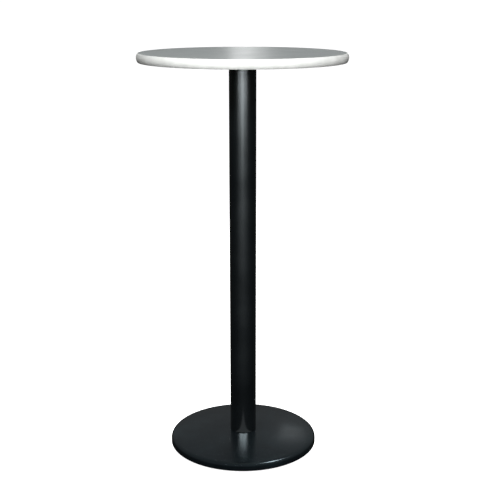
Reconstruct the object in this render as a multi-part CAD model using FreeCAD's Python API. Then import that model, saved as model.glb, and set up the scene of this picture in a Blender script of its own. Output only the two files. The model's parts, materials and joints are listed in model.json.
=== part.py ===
import FreeCAD
import Part
import math
import os

# Bar-height pedestal table: a round laminated top on an iron spider, a steel tube column and a
# low domed iron base. One tie rod clamps spider, tube and base together, and the base stands on
# four levelling glides. Millimetres, +Z up, origin on the floor at the column's axis.

# Whole table
TABLE_HEIGHT = 1150.0          # floor to the top face
TOP_DIAMETER = 580.0           # over the edge moulding
COLUMN_DIAMETER = 76.0
COLUMN_WALL = 2.0
BASE_DIAMETER = 430.0

# Table top layers
LAMINATE_THICKNESS = 1.0
CORE_THICKNESS = 23.0
BACKER_THICKNESS = 1.0

# Edge moulding: a convex head with a barbed tongue in the core's groove
MOULDING_CROWN = 6.0           # radial thickness of the head at its fullest
MOULDING_LIP = 1.6             # radial thickness of the head at its top and bottom edges
MOULDING_SEAM = 0.5            # gap where the two ends of the strip meet
MOULDING_FIT = 0.05            # radial gap between the head and the layers behind it
TONGUE_DEPTH = 11.0
TONGUE_THICKNESS = 2.0
BARB_HEIGHT = 0.6
BARB_COUNT = 3
GROOVE_CLEARANCE = 0.15

# Top spider: a hub with four ribbed arms
ARM_COUNT = 4
FIRST_ARM_ANGLE = 45.0
SPIDER_REACH = 165.0           # column axis to an arm's tip
ARM_THICKNESS = 5.0
ARM_ROOT_WIDTH = 48.0
ARM_TIP_WIDTH = 30.0
ARM_RIB_THICKNESS = 8.0
SPIDER_HUB_DEPTH = 14.0
SPIDER_HUB_OVERHANG = 4.0      # hub beyond the tube's outside
SPIGOT_LENGTH = 15.0           # how far each hub reaches into the tube
SPIGOT_CLEARANCE = 0.25
SPIGOT_CHAMFER = 1.5

# Screws that hold the top on the spider
SCREW_DIAMETER = 5.0
SCREW_COVER = 9.0              # board left between a screw's tip and the laminate
SCREW_POINT_LENGTH = 5.0
SCREW_HEAD_DIAMETER = 9.6
SCREW_HEAD_RIM = 1.2           # straight side of the head
SCREW_HEAD_ROUND = 2.0
SCREW_CROSS_SPAN = 5.0
SCREW_CROSS_WIDTH = 1.1
SCREW_CROSS_DEPTH = 1.6
SCREW_TIP_MARGIN = 16.0        # outer screw to the arm's tip
SCREW_SPACING = 26.0           # along an arm
SCREW_ARM_CLEARANCE = 0.3
SCREW_BOARD_CLEARANCE = 0.05
PILOT_END_CLEARANCE = 1.0
RIB_TO_SCREW_GAP = 3.0

# Tie rod and what is on it
ROD_DIAMETER = 12.0
ROD_CHAMFER = 1.2
ROD_END_SHOWN = 2.5            # thread that stands out of each nut
ROD_HOLE_CLEARANCE = 0.5
THREAD_CLEARANCE = 0.05        # radial gap between a plain thread and its nut or hole
NUT_WALL = 3.0                 # thread to a flat of the hexagon
NUT_HEIGHT = 10.0
WASHER_RIM = 6.0               # how far each washer reaches beyond the rod
WASHER_THICKNESS = 2.5
WASHER_CLEARANCE = 0.5
BASE_WASHER_RIM = 16.0
BASE_WASHER_THICKNESS = 3.0
LOCK_WASHER_RIM = 4.2
LOCK_WASHER_THICKNESS = 2.5
LOCK_WASHER_GAP = 2.0          # width of the split
NUT_RECESS_CLEARANCE = 1.5     # round the washer and over the rod's end

# Base casting: a domed shell with a hub, ribs and glide bosses underneath
RIM_HEIGHT = 21.0              # of the rim, before its upper edge is rounded
RIM_ROUND = 11.0
RIM_FOOT_CHAMFER = 1.0
RIM_WALL = 11.0
SEAT_RISE = 34.0               # rim's lower edge to the tube's seat
SEAT_MARGIN = 7.0              # flat seat beyond the tube's outside
SHELL_THICKNESS = 8.0
BASE_HUB_DIAMETER = 70.0
BASE_HUB_THICKNESS = 14.0      # under the seat
BASE_RIB_THICKNESS = 7.0
BASE_RIB_RISE = 5.0            # rim's lower edge to the ribs' lower edge

# Levelling glides
GLIDE_COUNT = 4
FIRST_GLIDE_ANGLE = 45.0
GLIDE_INSET = 40.0             # base's outside to a glide's axis
BOSS_DIAMETER = 24.0
BOSS_RECESS = 2.9              # rim's lower edge to the bosses' lower faces
BOSS_ROOF = 5.0                # metal between a boss's hole and the dome
STUD_DIAMETER = 8.0
STUD_CHAMFER = 1.0
STUD_END_CLEARANCE = 0.6
COLLAR_ACROSS_FLATS = 13.0
COLLAR_THICKNESS = 3.2
COLLAR_STOP_CLEARANCE = 0.1    # collar to boss with the glide screwed home
PIVOT_NECK_DIAMETER = 6.0
PIVOT_BUTTON_DIAMETER = 9.0
PIVOT_BUTTON_THICKNESS = 1.6
PIVOT_CLEARANCE = 0.1
PAD_DIAMETER = 30.0
PAD_FLOOR = 1.7                # under the pivot's button
PAD_LIP = 2.0                  # over the pivot's button
PAD_FOOT_CHAMFER = 0.8
PAD_SHOULDER = 2.0             # slope at the pad's upper edge

# Places worked out from the sizes above
TUBE_RADIUS = COLUMN_DIAMETER / 2
SPIGOT_RADIUS = TUBE_RADIUS - COLUMN_WALL - SPIGOT_CLEARANCE
ROD_RADIUS = ROD_DIAMETER / 2
ROD_HOLE_RADIUS = ROD_RADIUS + ROD_HOLE_CLEARANCE

CORE_TOP = TABLE_HEIGHT - LAMINATE_THICKNESS
CORE_BOTTOM = CORE_TOP - CORE_THICKNESS
TOP_UNDERSIDE = CORE_BOTTOM - BACKER_THICKNESS
TOP_MIDDLE = (TABLE_HEIGHT + TOP_UNDERSIDE) / 2
BOARD_RADIUS = TOP_DIAMETER / 2 - MOULDING_CROWN

SPIDER_HUB_RADIUS = TUBE_RADIUS + SPIDER_HUB_OVERHANG
SPIDER_SEAT = TOP_UNDERSIDE - SPIDER_HUB_DEPTH
ARM_UNDERSIDE = TOP_UNDERSIDE - ARM_THICKNESS
NUT_RECESS_RADIUS = ROD_RADIUS + WASHER_RIM + NUT_RECESS_CLEARANCE
NUT_RECESS_DEPTH = WASHER_THICKNESS + NUT_HEIGHT + ROD_END_SHOWN + NUT_RECESS_CLEARANCE
NUT_RECESS_FLOOR = TOP_UNDERSIDE - NUT_RECESS_DEPTH
OUTER_SCREW_RADIUS = SPIDER_REACH - SCREW_TIP_MARGIN
INNER_SCREW_RADIUS = OUTER_SCREW_RADIUS - SCREW_SPACING
ARM_RIB_END = INNER_SCREW_RADIUS - SCREW_HEAD_DIAMETER / 2 - RIB_TO_SCREW_GAP
SCREW_TIP = CORE_TOP - SCREW_COVER
ARM_ANGLES = [FIRST_ARM_ANGLE + arm * 360.0 / ARM_COUNT for arm in range(ARM_COUNT)]
SCREW_PLACES = [
    (radius, angle) for angle in ARM_ANGLES for radius in (INNER_SCREW_RADIUS, OUTER_SCREW_RADIUS)
]

# The glides, screwed home, set the height of the base.
BUTTON_BOTTOM = PAD_FLOOR + PIVOT_CLEARANCE
BUTTON_TOP = BUTTON_BOTTOM + PIVOT_BUTTON_THICKNESS
SOCKET_TOP = BUTTON_TOP + PIVOT_CLEARANCE
PAD_TOP = SOCKET_TOP + PAD_LIP
COLLAR_BOTTOM = PAD_TOP + PIVOT_CLEARANCE
COLLAR_TOP = COLLAR_BOTTOM + COLLAR_THICKNESS
BOSS_BOTTOM = COLLAR_TOP + COLLAR_STOP_CLEARANCE

BASE_RADIUS = BASE_DIAMETER / 2
RIM_BOTTOM = BOSS_BOTTOM - BOSS_RECESS
SEAT_RADIUS = TUBE_RADIUS + SEAT_MARGIN
SEAT_HEIGHT = RIM_BOTTOM + SEAT_RISE
BASE_HUB_UNDERSIDE = SEAT_HEIGHT - BASE_HUB_THICKNESS
LOCK_WASHER_TOP = BASE_HUB_UNDERSIDE - BASE_WASHER_THICKNESS
BASE_NUT_TOP = LOCK_WASHER_TOP - LOCK_WASHER_THICKNESS
ROD_BOTTOM = BASE_NUT_TOP - NUT_HEIGHT - ROD_END_SHOWN
ROD_TOP = NUT_RECESS_FLOOR + WASHER_THICKNESS + NUT_HEIGHT + ROD_END_SHOWN

# The dome is level at the seat and falls to the rim's upper edge on one arc.
DOME_SPAN = BASE_RADIUS - SEAT_RADIUS
DOME_DROP = SEAT_RISE - RIM_HEIGHT
DOME_RADIUS = (DOME_SPAN ** 2 + DOME_DROP ** 2) / (2 * DOME_DROP)
DOME_CENTRE = SEAT_HEIGHT - DOME_RADIUS

GLIDE_RADIUS = BASE_RADIUS - GLIDE_INSET
GLIDE_ANGLES = [FIRST_GLIDE_ANGLE + glide * 360.0 / GLIDE_COUNT for glide in range(GLIDE_COUNT)]

# Tools that only cut reach this far past what they cut.
PAST = 1.0
Z_AXIS = FreeCAD.Vector(0, 0, 1)
AXIS_POINT = FreeCAD.Vector(0, 0, 0)


def at(radius, height):
    """A point of a turned section, in the XZ plane."""
    return FreeCAD.Vector(radius, 0, height)


def lines(*points):
    """Straight edges through (radius, height) points."""
    return [
        Part.LineSegment(at(*start), at(*end)).toShape()
        for start, end in zip(points, points[1:])
    ]


def arc(start, middle, end):
    """An arc edge through three (radius, height) points."""
    return Part.Arc(at(*start), at(*middle), at(*end)).toShape()


def turned(edges):
    """The solid swept by a closed section turned once round the column's axis."""
    return Part.Face(Part.Wire(edges)).revolve(AXIS_POINT, Z_AXIS, 360)


def turned_points(*points):
    """A turned solid whose section is the closed polygon through the points."""
    return turned(lines(*points, points[0]))


def cylinder(radius, bottom, top):
    return Part.makeCylinder(radius, top - bottom, at(0, bottom))


def ring(inner, outer, bottom, top):
    return cylinder(outer, bottom, top).cut(cylinder(inner, bottom - PAST, top + PAST))


def block(length, width, bottom, top, start=0.0):
    """A bar along X from start, centred on Y."""
    return Part.makeBox(length, width, top - bottom, FreeCAD.Vector(start, -width / 2, bottom))


def placed(shape, radius, angle):
    """A copy moved out along X and then turned about the column's axis."""
    copy = shape.copy()
    copy.translate(FreeCAD.Vector(radius, 0, 0))
    copy.rotate(AXIS_POINT, Z_AXIS, angle)
    return copy


def hexagon(across_flats, bottom, top):
    """A hexagon bar with its corners chamfered at both ends."""
    corner = across_flats / math.sqrt(3)
    bevel = (corner - across_flats / 2) * math.tan(math.radians(30))
    points = [
        FreeCAD.Vector(
            corner * math.cos(math.radians(60 * side)),
            corner * math.sin(math.radians(60 * side)),
            bottom,
        )
        for side in range(7)
    ]
    bar = Part.Face(Part.makePolygon(points)).extrude(FreeCAD.Vector(0, 0, top - bottom))
    turning = turned_points(
        (0, bottom),
        (across_flats / 2, bottom),
        (corner, bottom + bevel),
        (corner, top - bevel),
        (across_flats / 2, top),
        (0, top),
    )
    return bar.common(turning)


def nut(bottom):
    top = bottom + NUT_HEIGHT
    thread = cylinder(ROD_RADIUS + THREAD_CLEARANCE, bottom - PAST, top + PAST)
    return hexagon(ROD_DIAMETER + 2 * NUT_WALL, bottom, top).cut(thread)


def tabletop_laminate():
    return cylinder(BOARD_RADIUS, CORE_TOP, TABLE_HEIGHT)


def screw_holes(radius, bottom, top):
    return [placed(cylinder(radius, bottom, top), *place) for place in SCREW_PLACES]


def tabletop_core():
    board = cylinder(BOARD_RADIUS, CORE_BOTTOM, CORE_TOP)
    groove_half = TONGUE_THICKNESS / 2 + BARB_HEIGHT + GROOVE_CLEARANCE
    groove = ring(
        BOARD_RADIUS - TONGUE_DEPTH - GROOVE_CLEARANCE,
        BOARD_RADIUS + PAST,
        TOP_MIDDLE - groove_half,
        TOP_MIDDLE + groove_half,
    )
    pilots = screw_holes(
        SCREW_DIAMETER / 2 + SCREW_BOARD_CLEARANCE,
        CORE_BOTTOM - PAST,
        SCREW_TIP + PILOT_END_CLEARANCE,
    )
    return board.cut(groove).cut(pilots)


def tabletop_backer():
    sheet = cylinder(BOARD_RADIUS, TOP_UNDERSIDE, CORE_BOTTOM)
    holes = screw_holes(
        SCREW_DIAMETER / 2 + SCREW_BOARD_CLEARANCE,
        TOP_UNDERSIDE - PAST,
        CORE_BOTTOM + PAST,
    )
    return sheet.cut(holes)


def tongue_side(side):
    """Saw-tooth points of one side of the tongue, from the head inwards; side is 1 or -1."""
    barb_length = TONGUE_DEPTH / (BARB_COUNT + 1)
    plain = TOP_MIDDLE + side * TONGUE_THICKNESS / 2
    points = [(BOARD_RADIUS + MOULDING_FIT, plain)]
    for barb in range(1, BARB_COUNT + 1):
        heel = BOARD_RADIUS - barb * barb_length
        points += [(heel, plain), (heel, plain + side * BARB_HEIGHT)]
    points.append((BOARD_RADIUS - TONGUE_DEPTH, plain))
    return points


def edge_moulding():
    back = BOARD_RADIUS + MOULDING_FIT
    lip = BOARD_RADIUS + MOULDING_LIP
    upper = tongue_side(1)
    lower = tongue_side(-1)
    section = lines(
        (back, TOP_UNDERSIDE),
        *lower,
        *reversed(upper),
        (back, TABLE_HEIGHT),
        (lip, TABLE_HEIGHT),
    )
    section.append(arc((lip, TABLE_HEIGHT), (TOP_DIAMETER / 2, TOP_MIDDLE), (lip, TOP_UNDERSIDE)))
    section += lines((lip, TOP_UNDERSIDE), (back, TOP_UNDERSIDE))
    seam = block(TOP_DIAMETER, MOULDING_SEAM, TOP_UNDERSIDE - PAST, TABLE_HEIGHT + PAST)
    return turned(section).cut(placed(seam, 0, 90))


def spider_arm():
    tip_radius = ARM_TIP_WIDTH / 2
    tip_centre = SPIDER_REACH - tip_radius
    outline = [
        (0, ARM_ROOT_WIDTH / 2),
        (tip_centre, tip_radius),
        (tip_centre, -tip_radius),
        (0, -ARM_ROOT_WIDTH / 2),
    ]
    corners = [FreeCAD.Vector(x, y, ARM_UNDERSIDE) for x, y in outline + outline[:1]]
    plate = Part.Face(Part.makePolygon(corners)).extrude(FreeCAD.Vector(0, 0, ARM_THICKNESS))
    tip = placed(cylinder(tip_radius, ARM_UNDERSIDE, TOP_UNDERSIDE), tip_centre, 0)
    rib_side = lines(
        (0, ARM_UNDERSIDE),
        (0, SPIDER_SEAT),
        (SPIDER_HUB_RADIUS, SPIDER_SEAT),
        (ARM_RIB_END, ARM_UNDERSIDE),
        (0, ARM_UNDERSIDE),
    )
    rib_face = Part.Face(Part.Wire(rib_side))
    rib_face.translate(FreeCAD.Vector(0, -ARM_RIB_THICKNESS / 2, 0))
    rib = rib_face.extrude(FreeCAD.Vector(0, ARM_RIB_THICKNESS, 0))
    return plate.fuse([tip, rib])


def top_spider():
    hub = turned_points(
        (0, TOP_UNDERSIDE),
        (SPIDER_HUB_RADIUS, TOP_UNDERSIDE),
        (SPIDER_HUB_RADIUS, SPIDER_SEAT),
        (SPIGOT_RADIUS, SPIDER_SEAT),
        (SPIGOT_RADIUS, SPIDER_SEAT - SPIGOT_LENGTH + SPIGOT_CHAMFER),
        (SPIGOT_RADIUS - SPIGOT_CHAMFER, SPIDER_SEAT - SPIGOT_LENGTH),
        (0, SPIDER_SEAT - SPIGOT_LENGTH),
    )
    arm = spider_arm()
    arms = [placed(arm, 0, angle) for angle in ARM_ANGLES]
    cuts = screw_holes(
        SCREW_DIAMETER / 2 + SCREW_ARM_CLEARANCE,
        ARM_UNDERSIDE - PAST,
        TOP_UNDERSIDE + PAST,
    )
    cuts.append(cylinder(NUT_RECESS_RADIUS, NUT_RECESS_FLOOR, TOP_UNDERSIDE + PAST))
    cuts.append(cylinder(ROD_HOLE_RADIUS, SPIDER_SEAT - SPIGOT_LENGTH - PAST, TOP_UNDERSIDE))
    return hub.fuse(arms).removeSplitter().cut(cuts)


def spider_screw():
    """One pan-head screw on the column's axis, pointing up, with a cross recess in its head."""
    thread = SCREW_DIAMETER / 2
    head = SCREW_HEAD_DIAMETER / 2
    crown = head - SCREW_HEAD_ROUND
    rim_end = ARM_UNDERSIDE - SCREW_HEAD_RIM
    head_end = rim_end - SCREW_HEAD_ROUND
    diagonal = SCREW_HEAD_ROUND * math.sqrt(0.5)
    section = lines(
        (crown, head_end),
        (0, head_end),
        (0, SCREW_TIP),
        (thread, SCREW_TIP - SCREW_POINT_LENGTH),
        (thread, ARM_UNDERSIDE),
        (head, ARM_UNDERSIDE),
        (head, rim_end),
    )
    section.append(arc((head, rim_end), (crown + diagonal, rim_end - diagonal), (crown, head_end)))
    slot = block(
        SCREW_CROSS_SPAN,
        SCREW_CROSS_WIDTH,
        head_end - PAST,
        head_end + SCREW_CROSS_DEPTH,
        -SCREW_CROSS_SPAN / 2,
    )
    return turned(section).cut([slot, placed(slot, 0, 90)])


def spider_screws():
    screw = spider_screw()
    return Part.makeCompound([placed(screw, *place) for place in SCREW_PLACES])


def column_tube():
    return ring(TUBE_RADIUS - COLUMN_WALL, TUBE_RADIUS, SEAT_HEIGHT, SPIDER_SEAT)


def tie_rod():
    end = ROD_RADIUS - ROD_CHAMFER
    return turned_points(
        (0, ROD_BOTTOM),
        (end, ROD_BOTTOM),
        (ROD_RADIUS, ROD_BOTTOM + ROD_CHAMFER),
        (ROD_RADIUS, ROD_TOP - ROD_CHAMFER),
        (end, ROD_TOP),
        (0, ROD_TOP),
    )


def rod_washer(rim, bottom, thickness):
    return ring(ROD_RADIUS + WASHER_CLEARANCE, ROD_RADIUS + rim, bottom, bottom + thickness)


def tie_rod_lock_washer():
    washer = rod_washer(LOCK_WASHER_RIM, BASE_NUT_TOP, LOCK_WASHER_THICKNESS)
    reach = ROD_RADIUS + LOCK_WASHER_RIM + PAST
    return washer.cut(block(reach, LOCK_WASHER_GAP, BASE_NUT_TOP - PAST, LOCK_WASHER_TOP + PAST))


def dome_height(radius, depth=0.0):
    """Height of the dome, or of the surface that lies depth inside it, at a radius."""
    return DOME_CENTRE + math.sqrt((DOME_RADIUS - depth) ** 2 - (radius - SEAT_RADIUS) ** 2)


def stud_hole_end():
    """Top of a glide's blind hole, under the thinnest part of its roof."""
    return dome_height(GLIDE_RADIUS + STUD_DIAMETER / 2) - BOSS_ROOF


def base_outside():
    """The base's outer form as one solid, with the spigot that locates the tube."""
    round_radius = BASE_RADIUS - RIM_ROUND
    round_height = dome_height(round_radius, RIM_ROUND)
    tilt = math.atan2(round_radius - SEAT_RADIUS, round_height - DOME_CENTRE)
    middle_angle = (tilt + math.pi / 2) / 2
    dome_end = (round_radius + RIM_ROUND * math.sin(tilt), round_height + RIM_ROUND * math.cos(tilt))
    round_middle = (
        round_radius + RIM_ROUND * math.sin(middle_angle),
        round_height + RIM_ROUND * math.cos(middle_angle),
    )
    dome_middle_radius = (SEAT_RADIUS + dome_end[0]) / 2
    spigot_top = SEAT_HEIGHT + SPIGOT_LENGTH
    section = lines(
        (0, RIM_BOTTOM),
        (BASE_RADIUS - RIM_FOOT_CHAMFER, RIM_BOTTOM),
        (BASE_RADIUS, RIM_BOTTOM + RIM_FOOT_CHAMFER),
        (BASE_RADIUS, round_height),
    )
    section.append(arc((BASE_RADIUS, round_height), round_middle, dome_end))
    section.append(
        arc(dome_end, (dome_middle_radius, dome_height(dome_middle_radius)), (SEAT_RADIUS, SEAT_HEIGHT))
    )
    section += lines(
        (SEAT_RADIUS, SEAT_HEIGHT),
        (SPIGOT_RADIUS, SEAT_HEIGHT),
        (SPIGOT_RADIUS, spigot_top - SPIGOT_CHAMFER),
        (SPIGOT_RADIUS - SPIGOT_CHAMFER, spigot_top),
        (0, spigot_top),
        (0, RIM_BOTTOM),
    )
    return turned(section)


def base_cavity():
    """The hollow under the dome and inside the rim."""
    inner_rim = BASE_RADIUS - RIM_WALL
    below = RIM_BOTTOM - PAST
    roof = [
        (radius, dome_height(radius, SHELL_THICKNESS))
        for radius in (SEAT_RADIUS, (SEAT_RADIUS + inner_rim) / 2, inner_rim)
    ]
    section = lines(roof[2], (inner_rim, below), (0, below), (0, roof[0][1]), roof[0])
    section.append(arc(*roof))
    return turned(section)


def base_casting():
    outside = base_outside()
    hub_radius = BASE_HUB_DIAMETER / 2
    hub = cylinder(hub_radius, BASE_HUB_UNDERSIDE, SEAT_HEIGHT)
    under_hub = cylinder(hub_radius, RIM_BOTTOM - PAST, BASE_HUB_UNDERSIDE)
    rib_bottom = RIM_BOTTOM + BASE_RIB_RISE
    rib = block(GLIDE_RADIUS, BASE_RIB_THICKNESS, rib_bottom, SEAT_HEIGHT).cut(under_hub)
    boss = cylinder(BOSS_DIAMETER / 2, BOSS_BOTTOM, SEAT_HEIGHT)
    hole = cylinder(STUD_DIAMETER / 2 + THREAD_CLEARANCE, BOSS_BOTTOM - PAST, stud_hole_end())
    stiffeners = []
    holes = [cylinder(ROD_HOLE_RADIUS, RIM_BOTTOM - PAST, SEAT_HEIGHT + SPIGOT_LENGTH + PAST)]
    for angle in GLIDE_ANGLES:
        stiffeners += [placed(rib, 0, angle), placed(boss, GLIDE_RADIUS, angle)]
        holes.append(placed(hole, GLIDE_RADIUS, angle))
    inside = hub.fuse(stiffeners).common(outside)
    return outside.cut(base_cavity()).fuse(inside).removeSplitter().cut(holes)


def glide_stud():
    """One stud on the column's axis: thread, hexagon collar and the button that pivots in the pad."""
    radius = STUD_DIAMETER / 2
    thread_end = stud_hole_end() - STUD_END_CLEARANCE
    thread = turned_points(
        (0, COLLAR_BOTTOM),
        (radius, COLLAR_BOTTOM),
        (radius, thread_end - STUD_CHAMFER),
        (radius - STUD_CHAMFER, thread_end),
        (0, thread_end),
    )
    collar = hexagon(COLLAR_ACROSS_FLATS, COLLAR_BOTTOM, COLLAR_TOP)
    neck = cylinder(PIVOT_NECK_DIAMETER / 2, BUTTON_BOTTOM, COLLAR_TOP)
    button = cylinder(PIVOT_BUTTON_DIAMETER / 2, BUTTON_BOTTOM, BUTTON_TOP)
    return thread.fuse([collar, neck, button]).removeSplitter()


def glide_pad():
    """One foot pad on the column's axis, with the socket that holds the stud's button."""
    outer = PAD_DIAMETER / 2
    disc = turned_points(
        (0, 0),
        (outer - PAD_FOOT_CHAMFER, 0),
        (outer, PAD_FOOT_CHAMFER),
        (outer, PAD_TOP - PAD_SHOULDER),
        (outer - PAD_SHOULDER, PAD_TOP),
        (0, PAD_TOP),
    )
    neck = cylinder(PIVOT_NECK_DIAMETER / 2 + PIVOT_CLEARANCE, PAD_FLOOR, PAD_TOP + PAST)
    socket = cylinder(PIVOT_BUTTON_DIAMETER / 2 + PIVOT_CLEARANCE, PAD_FLOOR, SOCKET_TOP)
    return disc.cut(neck.fuse(socket))


def pieces():
    """Every piece of the table by name, in its place."""
    made = {
        "tabletop_laminate": tabletop_laminate(),
        "tabletop_core": tabletop_core(),
        "tabletop_backer": tabletop_backer(),
        "edge_moulding": edge_moulding(),
        "top_spider": top_spider(),
        "spider_screws": spider_screws(),
        "column_tube": column_tube(),
        "tie_rod": tie_rod(),
        "tie_rod_top_washer": rod_washer(WASHER_RIM, NUT_RECESS_FLOOR, WASHER_THICKNESS),
        "tie_rod_top_nut": nut(NUT_RECESS_FLOOR + WASHER_THICKNESS),
        "base_casting": base_casting(),
        "tie_rod_base_washer": rod_washer(BASE_WASHER_RIM, LOCK_WASHER_TOP, BASE_WASHER_THICKNESS),
        "tie_rod_lock_washer": tie_rod_lock_washer(),
        "tie_rod_base_nut": nut(BASE_NUT_TOP - NUT_HEIGHT),
    }
    stud = glide_stud()
    pad = glide_pad()
    for number, angle in enumerate(GLIDE_ANGLES, 1):
        made[f"glide_stud_{number}"] = placed(stud, GLIDE_RADIUS, angle)
        made[f"glide_pad_{number}"] = placed(pad, GLIDE_RADIUS, angle)
    return made


def main():
    os.makedirs("parts", exist_ok=True)
    for name, shape in pieces().items():
        shape.exportStep(f"parts/{name}.step")
        volume = shape.Volume / 1000
        print(f"{name}: {len(shape.Solids)} solid(s), valid {shape.isValid()}, {volume:.2f} cm3")


main()
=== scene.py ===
# The looks of a bar-height pedestal table: a finish for every piece, a turned casting for the base, a
# cast skin for the spider, eased ends on the column, an extruded edge strip, cut threads on the rod and
# the glides, and a plain pale studio. Metres, +Z up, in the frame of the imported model.
import json
import math
import bmesh
import bpy
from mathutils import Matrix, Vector


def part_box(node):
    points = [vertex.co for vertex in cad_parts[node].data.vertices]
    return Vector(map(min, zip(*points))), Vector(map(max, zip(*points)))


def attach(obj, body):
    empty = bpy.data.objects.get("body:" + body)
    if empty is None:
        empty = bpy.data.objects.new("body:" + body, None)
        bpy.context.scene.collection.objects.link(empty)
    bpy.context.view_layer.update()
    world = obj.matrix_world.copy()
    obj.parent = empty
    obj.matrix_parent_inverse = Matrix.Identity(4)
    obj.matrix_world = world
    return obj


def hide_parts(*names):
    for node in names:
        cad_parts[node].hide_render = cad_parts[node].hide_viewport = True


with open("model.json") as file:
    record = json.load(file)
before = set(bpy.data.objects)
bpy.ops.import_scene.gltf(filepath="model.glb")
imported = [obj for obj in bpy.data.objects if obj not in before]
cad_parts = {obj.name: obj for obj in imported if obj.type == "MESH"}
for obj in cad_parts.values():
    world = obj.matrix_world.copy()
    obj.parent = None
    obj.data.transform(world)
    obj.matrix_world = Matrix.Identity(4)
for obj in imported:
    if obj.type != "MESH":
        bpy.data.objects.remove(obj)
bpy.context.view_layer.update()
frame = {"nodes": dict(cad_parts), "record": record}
nodes = frame["nodes"]
scene = bpy.context.scene
MM = 0.001

# Camera, at the photograph's place
CAMERA_DISTANCE = 2.771        # from the column's axis, along the floor
CAMERA_HEIGHT = 1.316
CAMERA_PITCH = 14.63           # degrees below level
CAMERA_YAW = -0.42             # degrees; the column stands a little left of the middle
LENS = 71.87                   # millimetres
SENSOR = 36.0

# Studio
FLOOR_SIZE = 60.0
FLOOR_ROUGHNESS = 0.9
FLOOR_GLOW = 0.95              # keeps the floor near white where the lights fall off
ROOM_ABOVE = 0.18              # light of the room's upper half
ROOM_BELOW = 0.02              # and of its lower half, so that upright black pieces stay black
ROOM_FADE = (-0.1, 0.35)       # from one to the other, as the height of a direction of length 1
BACKDROP = 1.05                # what the camera sees of the room

# Finishes
NOISE_SPAN = {"From Min": 0.3, "From Max": 0.7}  # where nearly all of a noise's values lie

# Column
TUBE_WALL = 2.0 * MM
TUBE_END_ROUND = 0.7 * MM      # the sawn ends, eased and coated
TUBE_END_STEPS = 4             # over each eased edge
TUBE_STEPS = 144               # round the tube

# Edge strip
STRIP_LIP = 1.6 * MM
STRIP_CROWN = 6.0 * MM
STRIP_SEAM = 0.5 * MM
STRIP_TONGUE_DEPTH = 11.0 * MM
STRIP_TONGUE_THICKNESS = 2.0 * MM
STRIP_BARBS = 3
STRIP_BARB_HEIGHT = 0.6 * MM
STRIP_EDGE_ROUND = 0.35 * MM
STRIP_EDGE_STEPS = 2           # over each softened edge
STRIP_STEPS = 300              # round the table
STRIP_CROWN_STEPS = 16         # over the convex face

# Spider's cast skin
SPIDER_SKIN = 1.2 * MM         # spacing of its mesh
SPIDER_ROUNDING = 4            # smoothing passes that leave cast corners

# Base casting
RIM_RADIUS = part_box("base_casting")[1].x
RIM_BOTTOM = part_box("base_casting")[0].z
RIM_ROUND = 11.0 * MM
RIM_WALL = 11.0 * MM
SEAT_RADIUS = 45.0 * MM        # of the flat under the tube, where the dome starts
SEAT_HEIGHT = 40.0 * MM
DOME_DROP = 13.0 * MM          # from the seat to the rim, before the rim is rounded
SHELL = 8.0 * MM               # thickness under the dome
SPIGOT_RADIUS = 35.75 * MM
SPIGOT_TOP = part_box("base_casting")[1].z
SPIGOT_CHAMFER = 1.5 * MM
ROD_HOLE_RADIUS = 6.5 * MM
HUB_RADIUS = 35.0 * MM
HUB_BOTTOM = 26.0 * MM
RIB_THICKNESS = 7.0 * MM
RIB_BOTTOM = 11.0 * MM
RIB_OVERLAP = 1.0 * MM         # of a rib with the hub
RIB_INTO_BOSS = 5.0 * MM
RIB_STATIONS = 16              # along a rib
BOSS_RADIUS = 12.0 * MM
BOSS_BOTTOM = 8.9 * MM
BOSS_STEPS = 48                # round a boss
STUD_HOLE_RADIUS = 4.05 * MM
STUD_HOLE_TOP = 26.9 * MM
CAST_CORNER = 1.5 * MM         # rounding of outer corners
CAST_ROOT = 4.0 * MM           # and of the roots where one form runs into another
ROOT_SLOPE = math.radians(20)  # of a root where it meets the roof
ROOT_RUN = 1.5 * MM            # its straight end
ROOT_SUNK = 3.0 * MM           # how far ribs and bosses are let into the shell
BASE_STEPS = 240               # round the base
DOME_STEPS = 24                # along the dome's section
ROUND_STEPS = 8                # over each rounded corner
DOME_RADIUS = ((RIM_RADIUS - SEAT_RADIUS) ** 2 + DOME_DROP ** 2) / (2 * DOME_DROP)
DOME_CENTRE = SEAT_HEIGHT - DOME_RADIUS

# Threads
ROD_PITCH = 1.75 * MM
ROD_THREADED = 45.0 * MM       # at each end of the tie rod
ROD_RUN_OUT = 1.0 * MM         # from a thread to the plain shank
STUD_PITCH = 1.25 * MM
THREAD_ROWS = 8                # mesh rows to a pitch
THREAD_STEPS = 36              # mesh columns round a thread
THREAD_DEPTH = 0.61            # of the pitch
THREAD_CREST = 0.1             # share of half a pitch that the crest's flat takes
THREAD_FLANK = 0.75            # and the flank; the root takes the rest
COLLAR_FLATS = 13.0 * MM
COLLAR_BOTTOM = 5.6 * MM
COLLAR_TOP = 8.8 * MM
COLLAR_BEVEL = math.radians(30)
STUD_DIAMETER = 8.0 * MM
STUD_END_TAPER = 1.0 * MM
PIVOT_NECK_DIAMETER = 6.0 * MM
PIVOT_BUTTON_DIAMETER = 9.0 * MM
PIVOT_BUTTON_TOP = 3.4 * MM
ROD_END_TAPER = 1.2 * MM
SMOOTH_ANGLE = math.radians(32)
GLIDES = range(1, 5)


def linear(hex_colour):
    """The linear colour of an sRGB hex value, with full alpha."""
    channels = [int(hex_colour[i:i + 2], 16) / 255 for i in (0, 2, 4)]
    return tuple(c / 12.92 if c <= 0.04045 else ((c + 0.055) / 1.055) ** 2.4 for c in channels) + (1.0,)


def grain(size):
    """Texture scale whose features are about this many millimetres across."""
    return 1.0 / (size * MM)


def fill(tree, filled, inputs):
    """Sets a node's inputs, by socket name, to values or to other nodes' outputs."""
    for name, value in inputs.items():
        if isinstance(value, bpy.types.NodeSocket):
            tree.links.new(value, filled.inputs[name])
        else:
            filled.inputs[name].default_value = value


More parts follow.
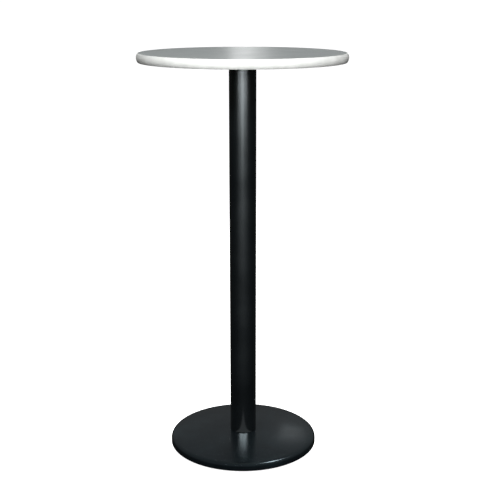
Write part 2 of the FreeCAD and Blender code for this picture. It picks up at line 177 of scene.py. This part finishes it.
def node(tree, kind, inputs=None, stops=(), **settings):
    """Adds a shader node with its settings, its inputs and, on a colour ramp, its stops."""
    made = tree.nodes.new(kind)
    for name, value in settings.items():
        setattr(made, name, value)
    for place, colour in stops:
        made.color_ramp.elements.new(place).color = colour
    if stops:
        made.color_ramp.elements.remove(made.color_ramp.elements[0])
        made.color_ramp.elements.remove(made.color_ramp.elements[-1])
    fill(tree, made, inputs or {})
    return made


def finish(name, **constants):
    """A new material with its shader's constants set; returns it, its tree, shader and coordinates."""
    made = bpy.data.materials.new(name)
    made.use_nodes = True
    shader = made.node_tree.nodes["Principled BSDF"]
    fill(made.node_tree, shader, {socket.replace("_", " "): value for socket, value in constants.items()})
    place = made.node_tree.nodes.new("ShaderNodeTexCoord").outputs["Object"]
    return made, made.node_tree, shader, place


def grey_laminate():
    """High-pressure laminate pressed against a suede plate: satin grey, a fine darker and lighter fleck,
    and a sheen that varies a little where it has been wiped. The fleck is drawn about twice too coarse,
    or it would not show."""
    made, tree, shader, place = finish("grey_high_pressure_laminate", IOR=1.5)
    fleck = node(tree, "ShaderNodeTexNoise", {"Vector": place, "Scale": grain(2.2), "Detail": 4.0})
    cloud = node(tree, "ShaderNodeTexNoise", {"Vector": place, "Scale": grain(90), "Detail": 3.0})
    colour = node(
        tree, "ShaderNodeValToRGB", {"Fac": fleck.outputs["Fac"]},
        stops=[(0.34, linear("818686")), (0.5, linear("8B9090")), (0.68, linear("949999"))],
    )
    sheen = node(
        tree, "ShaderNodeMapRange",
        {"Value": cloud.outputs["Fac"], **NOISE_SPAN, "To Min": 0.28, "To Max": 0.36},
    )
    suede = node(
        tree, "ShaderNodeBump",
        {"Height": fleck.outputs["Fac"], "Strength": 0.15, "Distance": 0.1 * MM},
    )
    fill(tree, shader, {
        "Base Color": colour.outputs["Color"],
        "Roughness": sheen.outputs["Result"],
        "Normal": suede.outputs["Normal"],
    })
    return made


def pale_vinyl():
    """Extruded rigid vinyl, off-white and satin: faint die lines run along the strip, and handling has
    greyed it a little in soft patches."""
    made, tree, shader, place = finish("pale_extruded_vinyl", IOR=1.53)
    soil = node(tree, "ShaderNodeTexNoise", {"Vector": place, "Scale": grain(35), "Detail": 5.0})
    colour = node(
        tree, "ShaderNodeValToRGB", {"Fac": soil.outputs["Fac"]},
        stops=[(0.3, linear("D6D8D5")), (0.55, linear("E0E2DF")), (0.8, linear("E7E8E6"))],
    )
    axes = node(tree, "ShaderNodeSeparateXYZ", {"Vector": place})
    lines = node(
        tree, "ShaderNodeTexNoise", {"W": axes.outputs["Z"], "Scale": grain(1.5)}, noise_dimensions="1D",
    )
    sheen = node(
        tree, "ShaderNodeMapRange",
        {"Value": soil.outputs["Fac"], **NOISE_SPAN, "To Min": 0.34, "To Max": 0.46},
    )
    die = node(
        tree, "ShaderNodeBump", {"Height": lines.outputs["Fac"], "Strength": 0.2, "Distance": 0.1 * MM},
    )
    fill(tree, shader, {
        "Base Color": colour.outputs["Color"],
        "Roughness": sheen.outputs["Result"],
        "Normal": die.outputs["Normal"],
    })
    return made


def black_tube_coat():
    """Semi-gloss black polyester powder coat on drawn steel tube: deep black with a cool cast, smooth,
    with a slight orange peel that breaks up the edges of its highlights."""
    made, tree, shader, place = finish(
        "black_powder_coated_tube", IOR=1.58, Specular_Tint=linear("F0FBFF"),
    )
    peel = node(tree, "ShaderNodeTexNoise", {"Vector": place, "Scale": grain(5), "Detail": 2.0})
    drift = node(tree, "ShaderNodeTexNoise", {"Vector": place, "Scale": grain(120), "Detail": 3.0})
    colour = node(
        tree, "ShaderNodeValToRGB", {"Fac": drift.outputs["Fac"]},
        stops=[(0.3, linear("070A0C")), (0.7, linear("0B0F11"))],
    )
    sheen = node(
        tree, "ShaderNodeMapRange",
        {"Value": drift.outputs["Fac"], **NOISE_SPAN, "To Min": 0.2, "To Max": 0.26},
    )
    bump = node(
        tree, "ShaderNodeBump", {"Height": peel.outputs["Fac"], "Strength": 0.12, "Distance": 0.15 * MM},
    )
    fill(tree, shader, {
        "Base Color": colour.outputs["Color"],
        "Roughness": sheen.outputs["Result"],
        "Normal": bump.outputs["Normal"],
    })
    return made


def black_cast_iron():
    """Sand-cast grey iron under a semi-gloss black polyester powder coat with a cool cast: the slight
    waviness of the casting bends its highlights, and the coat is duller in patches. Its grain is drawn
    coarser to show."""
    made, tree, shader, place = finish(
        "black_coated_cast_iron", IOR=1.58, Specular_Tint=linear("DDF6FF"),
    )
    leather = node(tree, "ShaderNodeTexNoise", {"Vector": place, "Scale": grain(4), "Detail": 3.0})
    patches = node(tree, "ShaderNodeTexNoise", {"Vector": place, "Scale": grain(75), "Detail": 4.0})
    colour = node(
        tree, "ShaderNodeValToRGB", {"Fac": patches.outputs["Fac"]},
        stops=[(0.3, linear("090D10")), (0.5, linear("0D1215")), (0.7, linear("12191C"))],
    )
    sheen = node(
        tree, "ShaderNodeMapRange",
        {"Value": patches.outputs["Fac"], **NOISE_SPAN, "To Min": 0.26, "To Max": 0.18},
    )
    waves = node(
        tree, "ShaderNodeBump", {"Height": patches.outputs["Fac"], "Strength": 0.1, "Distance": 0.8 * MM},
    )
    grains = node(
        tree, "ShaderNodeBump",
        {"Height": leather.outputs["Fac"], "Strength": 0.1, "Distance": 0.25 * MM,
         "Normal": waves.outputs["Normal"]},
    )
    fill(tree, shader, {
        "Base Color": colour.outputs["Color"],
        "Roughness": sheen.outputs["Result"],
        "Normal": grains.outputs["Normal"],
    })
    return made


def zinc_plate():
    """Bright zinc plate on turned steel: bluish white metal with a soft mottle from the bath."""
    made, tree, shader, place = finish("bright_zinc_plate", Metallic=1.0)
    mottle = node(tree, "ShaderNodeTexNoise", {"Vector": place, "Scale": grain(3), "Detail": 4.0})
    colour = node(
        tree, "ShaderNodeValToRGB", {"Fac": mottle.outputs["Fac"]},
        stops=[(0.3, linear("B3B7BB")), (0.7, linear("C6CACD"))],
    )
    sheen = node(
        tree, "ShaderNodeMapRange",
        {"Value": mottle.outputs["Fac"], **NOISE_SPAN, "To Min": 0.28, "To Max": 0.36},
    )
    fill(tree, shader, {
        "Base Color": colour.outputs["Color"],
        "Roughness": sheen.outputs["Result"],
    })
    return made


def black_nylon():
    """Moulded nylon, matt black, scuffed grey in small spots where it slides."""
    made, tree, shader, place = finish("moulded_black_nylon", IOR=1.53)
    scuffs = node(tree, "ShaderNodeTexNoise", {"Vector": place, "Scale": grain(6), "Detail": 6.0})
    colour = node(
        tree, "ShaderNodeValToRGB", {"Fac": scuffs.outputs["Fac"]},
        stops=[(0.45, linear("18181A")), (0.62, linear("1D1D1F")), (0.8, linear("29292B"))],
    )
    sheen = node(
        tree, "ShaderNodeMapRange",
        {"Value": scuffs.outputs["Fac"], **NOISE_SPAN, "To Min": 0.48, "To Max": 0.68},
    )
    fill(tree, shader, {
        "Base Color": colour.outputs["Color"],
        "Roughness": sheen.outputs["Result"],
    })
    return made


def particleboard():
    """Raw pressed wood chips: tan flakes a few millimetres long in mixed shades, dull and porous."""
    made, tree, shader, place = finish("raw_particleboard", IOR=1.5, Roughness=0.85)
    chips = node(tree, "ShaderNodeTexVoronoi", {"Vector": place, "Scale": grain(3)})
    shade = node(tree, "ShaderNodeSeparateColor", {"Color": chips.outputs["Color"]})
    colour = node(
        tree, "ShaderNodeValToRGB", {"Fac": shade.outputs["Red"]},
        stops=[(0.1, linear("8F6D46")), (0.5, linear("B3915F")), (0.9, linear("CBAA78"))],
    )
    pores = node(
        tree, "ShaderNodeBump",
        {"Height": chips.outputs["Distance"], "Strength": 0.5, "Distance": 0.3 * MM},
    )
    fill(tree, shader, {
        "Base Color": colour.outputs["Color"],
        "Normal": pores.outputs["Normal"],
    })
    return made


def backing_laminate():
    """Phenolic balancing sheet: plain warm grey-brown paper laminate, matt, with faint fibre clouds."""
    made, tree, shader, place = finish("phenolic_backing_sheet", IOR=1.5)
    fibres = node(tree, "ShaderNodeTexNoise", {"Vector": place, "Scale": grain(5), "Detail": 6.0})
    colour = node(
        tree, "ShaderNodeValToRGB", {"Fac": fibres.outputs["Fac"]},
        stops=[(0.35, linear("A79C84")), (0.65, linear("AEA38B"))],
    )
    sheen = node(
        tree, "ShaderNodeMapRange",
        {"Value": fibres.outputs["Fac"], **NOISE_SPAN, "To Min": 0.5, "To Max": 0.65},
    )
    fill(tree, shader, {
        "Base Color": colour.outputs["Color"],
        "Roughness": sheen.outputs["Result"],
    })
    return made


FINISHES = {
    "grey_laminate": grey_laminate(),
    "particleboard": particleboard(),
    "backing_laminate": backing_laminate(),
    "pale_vinyl": pale_vinyl(),
    "black_tube": black_tube_coat(),
    "black_iron": black_cast_iron(),
    "zinc_steel": zinc_plate(),
    "black_nylon": black_nylon(),
}
SLOT_OF_NODE = {part["node"]: part["material_slot"] for part in frame["record"]["subparts"]}


def dress_cad_nodes():
    """Gives every CAD node the finish of its slot."""
    for name, part in nodes.items():
        part.material_slots[0].material = FINISHES[SLOT_OF_NODE[name]]


def add_piece(name, mesh, body, replaced):
    """Puts a finished mesh in the scene in place of a CAD node, on that node's body and in its finish."""
    slot = SLOT_OF_NODE[replaced]
    mesh.materials.clear()
    mesh.materials.append(FINISHES[slot])
    piece = bpy.data.objects.new(name, mesh)
    scene.collection.objects.link(piece)
    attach(piece, body)
    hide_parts(replaced)
    return piece


def smooth_mesh(name, build):
    """A mesh from a filled bmesh, shaded smooth but for its sharp corners."""
    bmesh.ops.recalc_face_normals(build, faces=build.faces)
    mesh = bpy.data.meshes.new(name)
    build.to_mesh(mesh)
    build.free()
    mesh.shade_smooth()
    mesh.set_sharp_from_angle(angle=SMOOTH_ANGLE)
    return mesh


def join_rings(build, rings):
    """Faces between each ring of vertices and the next."""
    for ring, following in zip(rings, rings[1:]):
        for i in range(len(ring)):
            j = (i + 1) % len(ring)
            build.faces.new((ring[i], ring[j], following[j], following[i]))


def close_ends(build, rings):
    """A face over the first ring and one over the last."""
    build.faces.new(rings[0])
    build.faces.new(rings[-1])


def carry_round(build, section, angles):
    """Rings of vertices that carry a section of (radius, height) round the column's axis."""
    return [
        [build.verts.new((radius * math.cos(a), radius * math.sin(a), height)) for radius, height in section]
        for a in angles
    ]


def full_turn(steps):
    """Angles of this many even steps round a circle."""
    return [2 * math.pi * step / steps for step in range(steps)]


def arc_points(centre, radius, start, end, steps):
    """Points of an arc in a section of (radius, height); its angles open outwards from straight up."""
    points = []
    for step in range(steps + 1):
        angle = start + (end - start) * step / steps
        points.append((centre[0] + radius * math.sin(angle), centre[1] + radius * math.cos(angle)))
    return points


def scratch_object(name, mesh):
    """An object to work a mesh with, which is removed again."""
    made = bpy.data.objects.new(name, mesh)
    scene.collection.objects.link(made)
    return made


def worked_mesh(worked, name):
    """The mesh that a scratch object's modifiers leave. The object is removed."""
    mesh = bpy.data.meshes.new_from_object(worked.evaluated_get(bpy.context.evaluated_depsgraph_get()))
    mesh.name = name
    bpy.data.objects.remove(worked)
    return mesh


def cast_spider():
    """The spider as a sand casting: an even skin whose corners and roots are rounded."""
    raw = scratch_object("raw spider", nodes["top_spider"].data.copy())
    skin = raw.modifiers.new("skin", "REMESH")
    skin.mode = "VOXEL"
    skin.voxel_size = SPIDER_SKIN
    rounding = raw.modifiers.new("rounding", "SMOOTH")
    rounding.iterations = SPIDER_ROUNDING
    mesh = worked_mesh(raw, "cast_spider")
    mesh.shade_smooth()
    return add_piece("cast_spider", mesh, "table", "top_spider")


def dome_to_wall(dome, wall, rounding):
    """Section of a dome from the seat's edge outwards, and of the round that takes it down to a wall."""
    out = wall - rounding
    up = DOME_CENTRE + math.sqrt((dome - rounding) ** 2 - (out - SEAT_RADIUS) ** 2)
    end = math.atan2(out - SEAT_RADIUS, up - DOME_CENTRE)
    points = arc_points((SEAT_RADIUS, DOME_CENTRE), dome, 0, end, DOME_STEPS)
    return points + arc_points((out, up), rounding, end, math.pi / 2, ROUND_STEPS)[1:]


def roof_height(radius):
    """Height of the hollow's roof, a shell's thickness inside the dome and flat under the seat."""
    beyond_seat = max(0.0, radius - SEAT_RADIUS)
    return DOME_CENTRE + math.sqrt((DOME_RADIUS - SHELL) ** 2 - beyond_seat ** 2)


def base_section():
    """All that is turned on the base, as a closed section: spigot, seat, dome and rim, and under them
    the rim's foot, the roof and the hub."""
    inside = RIM_RADIUS - RIM_WALL
    foot = RIM_BOTTOM + CAST_CORNER
    outer_foot = (RIM_RADIUS - CAST_CORNER, foot)
    inner_foot = (inside + CAST_CORNER, foot)
    hub_root = (HUB_RADIUS + CAST_ROOT, roof_height(0) - CAST_ROOT)
    hub_corner = (HUB_RADIUS - CAST_CORNER, HUB_BOTTOM + CAST_CORNER)
    section = [
        (ROD_HOLE_RADIUS, SPIGOT_TOP),
        (SPIGOT_RADIUS - SPIGOT_CHAMFER, SPIGOT_TOP),
        (SPIGOT_RADIUS, SPIGOT_TOP - SPIGOT_CHAMFER),
        (SPIGOT_RADIUS, SEAT_HEIGHT),
    ]
    section += dome_to_wall(DOME_RADIUS, RIM_RADIUS, RIM_ROUND)
    section += arc_points(outer_foot, CAST_CORNER, math.pi / 2, math.pi, ROUND_STEPS)
    section += arc_points(inner_foot, CAST_CORNER, math.pi, 3 * math.pi / 2, ROUND_STEPS)
    section += reversed(dome_to_wall(DOME_RADIUS - SHELL, inside, CAST_ROOT))
    section += arc_points(hub_root, CAST_ROOT, 0, -math.pi / 2, ROUND_STEPS)
    section += arc_points(hub_corner, CAST_CORNER, math.pi / 2, math.pi, ROUND_STEPS)
    section.append((ROD_HOLE_RADIUS, HUB_BOTTOM))
    return section


def root_points(side):
    """Section of a cast root from an upright side to the roof, as (reach, height above the roof)."""
    points = arc_points((side + CAST_ROOT, -CAST_ROOT), CAST_ROOT, -math.pi / 2, -ROOT_SLOPE, ROUND_STEPS)
    reach, height = points[-1]
    reach += ROOT_RUN * math.cos(ROOT_SLOPE)
    return points + [(reach, height + ROOT_RUN * math.sin(ROOT_SLOPE)), (reach, ROOT_SUNK)]


def rib(build, angle, glide_radius):
    """A rib from the hub to a boss. Its inner end and lower edges are rounded."""
    start = HUB_RADIUS - RIB_OVERLAP
    end = glide_radius - BOSS_RADIUS + RIB_INTO_BOSS
    stations = [
        (start + CAST_CORNER - back, CAST_CORNER - narrow)
        for narrow, back in arc_points((0, 0), CAST_CORNER, 0, math.pi / 2, ROUND_STEPS)
    ]
    for station in range(1, RIB_STATIONS + 1):
        stations.append((start + CAST_CORNER + (end - start - CAST_CORNER) * station / RIB_STATIONS, 0.0))
    along = Vector((math.cos(angle), math.sin(angle), 0))
    across = Vector((-along.y, along.x, 0))
    rings = []
    for radius, narrowed in stations:
        side = RIB_THICKNESS / 2 - narrowed
        bottom = RIB_BOTTOM + narrowed
        corner = (side - CAST_CORNER, bottom + CAST_CORNER)
        half = arc_points(corner, CAST_CORNER, math.pi, math.pi / 2, ROUND_STEPS)
        half += [(reach, roof_height(radius) + height) for reach, height in root_points(side)]
        section = half + [(-reach, height) for reach, height in reversed(half)]
        rings.append([
            build.verts.new(along * radius + across * reach + Vector((0, 0, height)))
            for reach, height in section
        ])
    join_rings(build, rings)
    close_ends(build, rings)


def boss(build, middle):
    """A glide's boss, rounded at its lower edge, with a root that runs out on the sloping roof."""
    corner = (BOSS_RADIUS - CAST_CORNER, BOSS_BOTTOM + CAST_CORNER)
    lower_edge = arc_points(corner, CAST_CORNER, math.pi, math.pi / 2, ROUND_STEPS)
    rows = [(*point, False) for point in lower_edge]
    rows += [(*point, True) for point in root_points(BOSS_RADIUS)]
    rings = []
    for reach, height, from_roof in rows:
        ring = []
        for angle in full_turn(BOSS_STEPS):
            x = middle.x + reach * math.cos(angle)
            y = middle.y + reach * math.sin(angle)
            level = roof_height(math.hypot(x, y)) if from_roof else 0.0
            ring.append(build.verts.new((x, y, level + height)))
        rings.append(ring)
    join_rings(build, rings)
    close_ends(build, rings)


def stud_hole(build, middle):
    """The tool that drills a glide's hole."""
    rings = []
    for height in (BOSS_BOTTOM - CAST_CORNER, STUD_HOLE_TOP):
        rings.append([
            build.verts.new((
                middle.x + STUD_HOLE_RADIUS * math.cos(angle),
                middle.y + STUD_HOLE_RADIUS * math.sin(angle),
                height,
            ))
            for angle in full_turn(BOSS_STEPS)
        ])
    join_rings(build, rings)
    close_ends(build, rings)


def cast_base():
    """The base as a sand casting: a turned shell with ribs and bosses run into it, then drilled."""
    shell = bmesh.new()
    rings = carry_round(shell, base_section(), full_turn(BASE_STEPS))
    join_rings(shell, rings + rings[:1])
    ribs, bosses, drills = bmesh.new(), bmesh.new(), bmesh.new()
    for glide in GLIDES:
        low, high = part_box(f"glide_stud_{glide}")
        middle = (low + high) / 2
        rib(ribs, math.atan2(middle.y, middle.x), middle.xy.length)
        boss(bosses, middle)
        stud_hole(drills, middle)
    raw = scratch_object("raw base", smooth_mesh("raw base", shell))
    tools = []
    stages = (("ribs", ribs, "UNION"), ("bosses", bosses, "UNION"), ("drills", drills, "DIFFERENCE"))
    for name, build, operation in stages:
        tools.append(scratch_object(name, smooth_mesh(name, build)))
        step = raw.modifiers.new(name, "BOOLEAN")
        step.operation = operation
        step.object = tools[-1]
        step.solver = "EXACT"
    mesh = worked_mesh(raw, "cast_base")
    for tool in tools:
        bpy.data.objects.remove(tool)
    mesh.shade_smooth()
    mesh.set_sharp_from_angle(angle=SMOOTH_ANGLE)
    return add_piece("cast_base", mesh, "table", "base_casting")


def column():
    """The drawn tube, with the eased ends that leave a fine line where it meets the base."""
    low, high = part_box("column_tube")
    outer = high.x
    inner = outer - TUBE_WALL
    ease = TUBE_END_ROUND
    section = [(inner, low.z)]
    section += arc_points((outer - ease, low.z + ease), ease, math.pi, math.pi / 2, TUBE_END_STEPS)
    section.append((outer, low.z + 2 * ease))  # keeps the ease from bending the wall's shading
    section += [(radius, low.z + high.z - height) for radius, height in reversed(section)]
    build = bmesh.new()
    rings = carry_round(build, section, full_turn(TUBE_STEPS))
    join_rings(build, rings + rings[:1])
    return add_piece("coated_column", smooth_mesh("coated_column", build), "table", "column_tube")


def strip_section(outer, bottom, top):
    """Corners of the edge strip's section as (radius, height), round its back, tongue and convex face."""
    back = outer - STRIP_CROWN
    lip = back + STRIP_LIP
    middle = (bottom + top) / 2
    tip = back - STRIP_TONGUE_DEPTH
    barb_length = STRIP_TONGUE_DEPTH / (STRIP_BARBS + 1)
    lower_side = [(back, middle - STRIP_TONGUE_THICKNESS / 2)]
    for barb in range(1, STRIP_BARBS + 1):
        heel = back - barb * barb_length
        lower_side.append((heel, lower_side[0][1]))
        lower_side.append((heel, lower_side[0][1] - STRIP_BARB_HEIGHT))
    lower_side.append((tip, lower_side[0][1]))
    upper_side = [(radius, 2 * middle - height) for radius, height in reversed(lower_side)]
    half = (top - bottom) / 2
    rise = outer - lip
    crown_radius = (half ** 2 + rise ** 2) / (2 * rise)
    spread = math.asin(half / crown_radius)
    crown_centre = (outer - crown_radius, middle)
    level = math.pi / 2
    face = arc_points(crown_centre, crown_radius, level - spread, level + spread, STRIP_CROWN_STEPS)
    return [(back, bottom)] + lower_side + upper_side + [(back, top)] + face


def edge_strip():
    """The extruded strip bent once round the top, its two ends butted at the back."""
    low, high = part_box("edge_moulding")
    outer = high.y
    section = strip_section(outer, low.z, high.z)
    half_seam = STRIP_SEAM / 2 / outer
    start = math.pi / 2 + half_seam
    sweep = 2 * (math.pi - half_seam)
    build = bmesh.new()
    angles = [start + sweep * step / STRIP_STEPS for step in range(STRIP_STEPS + 1)]
    rings = carry_round(build, section, angles)
    join_rings(build, rings)
    close_ends(build, rings)
    piece = add_piece("edge_strip", smooth_mesh("edge_strip", build), "table", "edge_moulding")
    soften = piece.modifiers.new("softened edges", "BEVEL")
    soften.width = STRIP_EDGE_ROUND
    soften.segments = STRIP_EDGE_STEPS
    soften.limit_method = "ANGLE"
    soften.angle_limit = SMOOTH_ANGLE
    return piece


def thread_row(height, crest, pitch):
    """One row of a right-hand thread: the radius at each angle."""
    depth = THREAD_DEPTH * pitch

    def radius(angle):
        turn = (height / pitch - angle / (2 * math.pi)) % 1.0
        flank = abs(2 * turn - 1)
        return crest - depth * min(1.0, max(0.0, (flank - THREAD_CREST) / THREAD_FLANK))

    return height, radius


def thread_rows(bottom, top, crest, pitch, taper_at_bottom, taper_at_top):
    """Rows of a thread from bottom to top, narrowed to its root at the ends that are tapered."""
    count = round((top - bottom) / pitch * THREAD_ROWS)
    rows = []
    for row in range(count + 1):
        height = bottom + (top - bottom) * row / count
        limit = crest
        if taper_at_bottom:
            limit = min(limit, crest - taper_at_bottom + (height - bottom))
        if taper_at_top:
            limit = min(limit, crest - taper_at_top + (top - height))
        level, radius = thread_row(height, crest, pitch)
        rows.append((level, lambda angle, radius=radius, limit=limit: min(radius(angle), limit)))
    return rows


def hexagon_rows(bottom, top, flats):
    """Rows of a hexagon whose corners are turned off at both faces."""

    def row(height, turned):
        def radius(angle):
            from_flat = angle % (math.pi / 3) - math.pi / 6
            return min(turned, flats / 2 / math.cos(from_flat))

        return height, radius

    corner = flats / math.sqrt(3)
    bevel = (corner - flats / 2) * math.tan(COLLAR_BEVEL)
    return [
        row(bottom, flats / 2),
        row(bottom + bevel, corner),
        row(top - bevel, corner),
        row(top, flats / 2),
    ]


def turned_piece(name, rows, centre, turn, body, replaced):
    """A closed piece from rows of (height, radius), where a radius may depend on the angle."""
    build = bmesh.new()
    rings = []
    for height, radius in rows:
        ring = []
        for angle in full_turn(THREAD_STEPS):
            reach = radius(angle) if callable(radius) else radius
            x = centre[0] + reach * math.cos(angle + turn)
            y = centre[1] + reach * math.sin(angle + turn)
            ring.append(build.verts.new((x, y, height)))
        rings.append(ring)
    join_rings(build, rings)
    close_ends(build, rings)
    return add_piece(name, smooth_mesh(name, build), body, replaced)


def threaded_tie_rod():
    """The rod, plain along its length and threaded at both ends."""
    low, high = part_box("tie_rod")
    crest = high.x
    rows = thread_rows(low.z, low.z + ROD_THREADED, crest, ROD_PITCH, ROD_END_TAPER, 0)
    rows.append((low.z + ROD_THREADED + ROD_RUN_OUT, crest))
    rows.append((high.z - ROD_THREADED - ROD_RUN_OUT, crest))
    rows += thread_rows(high.z - ROD_THREADED, high.z, crest, ROD_PITCH, 0, ROD_END_TAPER)
    return turned_piece("threaded_tie_rod", rows, (0, 0), 0, "table", "tie_rod")


def threaded_glide(number):
    """A glide's stud: the pivot's button and neck, the hexagon collar and the thread above it."""
    name = f"glide_stud_{number}"
    low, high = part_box(name)
    centre = (low + high) / 2
    rows = [
        (low.z, PIVOT_BUTTON_DIAMETER / 2),
        (PIVOT_BUTTON_TOP, PIVOT_BUTTON_DIAMETER / 2),
        (PIVOT_BUTTON_TOP, PIVOT_NECK_DIAMETER / 2),
        (COLLAR_BOTTOM, PIVOT_NECK_DIAMETER / 2),
    ]
    rows += hexagon_rows(COLLAR_BOTTOM, COLLAR_TOP, COLLAR_FLATS)
    rows += thread_rows(COLLAR_TOP, high.z, STUD_DIAMETER / 2, STUD_PITCH, 0, STUD_END_TAPER)
    turn = math.atan2(centre.y, centre.x)
    return turned_piece(f"threaded_glide_{number}", rows, centre, turn, f"glide_screw_{number}", name)


def add_softbox(name, place, aim, size, power, matt=True, gloss=True, only=(), shape="RECTANGLE"):
    """A lamp of this width and height. It can be kept off the matt or the glossy look of the pieces, or
    flagged so that it falls on some of them only."""
    light = bpy.data.lights.new(name, "AREA")
    light.shape = shape
    light.size, light.size_y = size
    light.energy = power
    lamp = bpy.data.objects.new(name, light)
    lamp.location = place
    lamp.rotation_mode = "QUATERNION"
    lamp.rotation_quaternion = (Vector(aim) - Vector(place)).to_track_quat("-Z", "Y")
    lamp.visible_camera = False
    lamp.visible_diffuse = matt
    lamp.visible_glossy = gloss
    if only:
        lit = bpy.data.collections.new(name)
        for piece in only:
            lit.objects.link(piece)
        lamp.light_linking.receiver_collection = lit
    scene.collection.objects.link(lamp)


def light_studio(tube, base, strip):
    """Two wide washes light the matt pieces from the front and the back. The black coats mirror lamps
    of their own, and narrow ones lay a sheen on the top alone, so nothing burns out against the light.
    A lamp at floor level stands for the floor's bounce on the underside of the top, and a small one over
    the base for its bright spot, which the tube mirrors as a wedge of light."""
    column_middle = (0, 0, 0.9)
    top_middle = (0, 0, 1.15)
    foot = (0, 0, 0)
    for_tube = {"matt": False, "only": [tube]}
    for_base = {"matt": False, "only": [base]}
    for_top = {"only": [nodes["tabletop_laminate"], strip]}
    under_top = {"gloss": False, "only": [nodes["tabletop_backer"]]}
    add_softbox("front wash", (0.1, -2.5, 2.45), top_middle, (3.2, 0.8), 150, gloss=False)
    add_softbox("back wash", (-0.1, 2.4, 2.6), top_middle, (2.4, 1.0), 86, gloss=False)
    add_softbox("front key", (0, -2.9, 1.55), column_middle, (4.0, 0.6), 480, **for_tube)
    add_softbox("low front key", (-0.1, -2.9, 0.82), column_middle, (1.2, 0.5), 9, **for_tube)
    add_softbox("back key", (0, 2.9, 1.65), column_middle, (1.0, 0.5), 25, **for_tube)
    add_softbox("low back key", (0, 2.9, 0.9), column_middle, (0.8, 0.5), 4, **for_tube)
    add_softbox(
        "foot glint", (0, -0.06, 0.042), (0, -0.06, 1), (0.05, 0.24), 0.012, shape="ELLIPSE", **for_tube
    )
    add_softbox("rim light", (1.5, -0.5, 2.8), foot, (0.8, 0.8), 40, **for_base)
    add_softbox("base sheen", (0.57, 3.0, 1.55), foot, (0.3, 0.4), 0.25, **for_base)
    add_softbox("front sheen", (0.2, -3.0, 1.85), top_middle, (0.16, 1.2), 0.85, **for_top)
    add_softbox("back sheen", (0, 3.0, 1.85), top_middle, (0.12, 1.2), 0.82, **for_top)
    add_softbox("faint back sheen", (0.1, 3.0, 1.85), top_middle, (0.09, 1.2), 0.22, **for_top)
    add_softbox("floor bounce", (0, 0, 0.02), top_middle, (2.5, 2.5), 20, **under_top)


def add_floor():
    """A plain pale floor, which takes shadows. The pieces neither mirror it nor take its light."""
    half = FLOOR_SIZE / 2
    mesh = bpy.data.meshes.new("floor")
    corners = [(-half, -half, 0), (half, -half, 0), (half, half, 0), (-half, half, 0)]
    mesh.from_pydata(corners, [], [(0, 1, 2, 3)])
    paint, *_ = finish(
        "pale_studio_floor", Base_Color=linear("F2F2F2"), Roughness=FLOOR_ROUGHNESS,
        Emission_Color=linear("FFFFFF"), Emission_Strength=FLOOR_GLOW,
    )
    mesh.materials.append(paint)
    floor = bpy.data.objects.new("floor", mesh)
    floor.visible_glossy = False
    floor.visible_diffuse = False
    scene.collection.objects.link(floor)


def add_room():
    """Soft light from the upper half of the room; the camera sees all of it as white as the floor."""
    world = bpy.data.worlds.new("studio")
    world.use_nodes = True
    tree = world.node_tree
    direction = node(tree, "ShaderNodeTexCoord").outputs["Generated"]
    axes = node(tree, "ShaderNodeSeparateXYZ", {"Vector": direction})
    room = node(
        tree, "ShaderNodeMapRange",
        {"Value": axes.outputs["Z"], "From Min": ROOM_FADE[0], "From Max": ROOM_FADE[1],
         "To Min": ROOM_BELOW, "To Max": ROOM_ABOVE},
    )
    seen = node(tree, "ShaderNodeLightPath").outputs["Is Camera Ray"]
    strength = node(
        tree, "ShaderNodeMapRange",
        {"Value": seen, "To Min": room.outputs["Result"], "To Max": BACKDROP},
    )
    tree.links.new(strength.outputs["Result"], tree.nodes["Background"].inputs["Strength"])
    tree.nodes["Background"].inputs["Color"].default_value = linear("FFFFFF")
    scene.world = world


def add_camera():
    """The photograph's camera, level from side to side."""
    data = bpy.data.cameras.new("camera")
    data.lens = LENS
    data.sensor_width = SENSOR
    camera = bpy.data.objects.new("camera", data)
    camera.location = (0, -CAMERA_DISTANCE, CAMERA_HEIGHT)
    camera.rotation_euler = (math.radians(90 - CAMERA_PITCH), 0, math.radians(CAMERA_YAW))
    scene.collection.objects.link(camera)
    scene.camera = camera


dress_cad_nodes()
base = cast_base()
cast_spider()
tube = column()
strip = edge_strip()
threaded_tie_rod()
for glide in GLIDES:
    threaded_glide(glide)

add_camera()
add_floor()
add_room()
light_studio(tube, base, strip)
scene.view_settings.view_transform = "Standard"
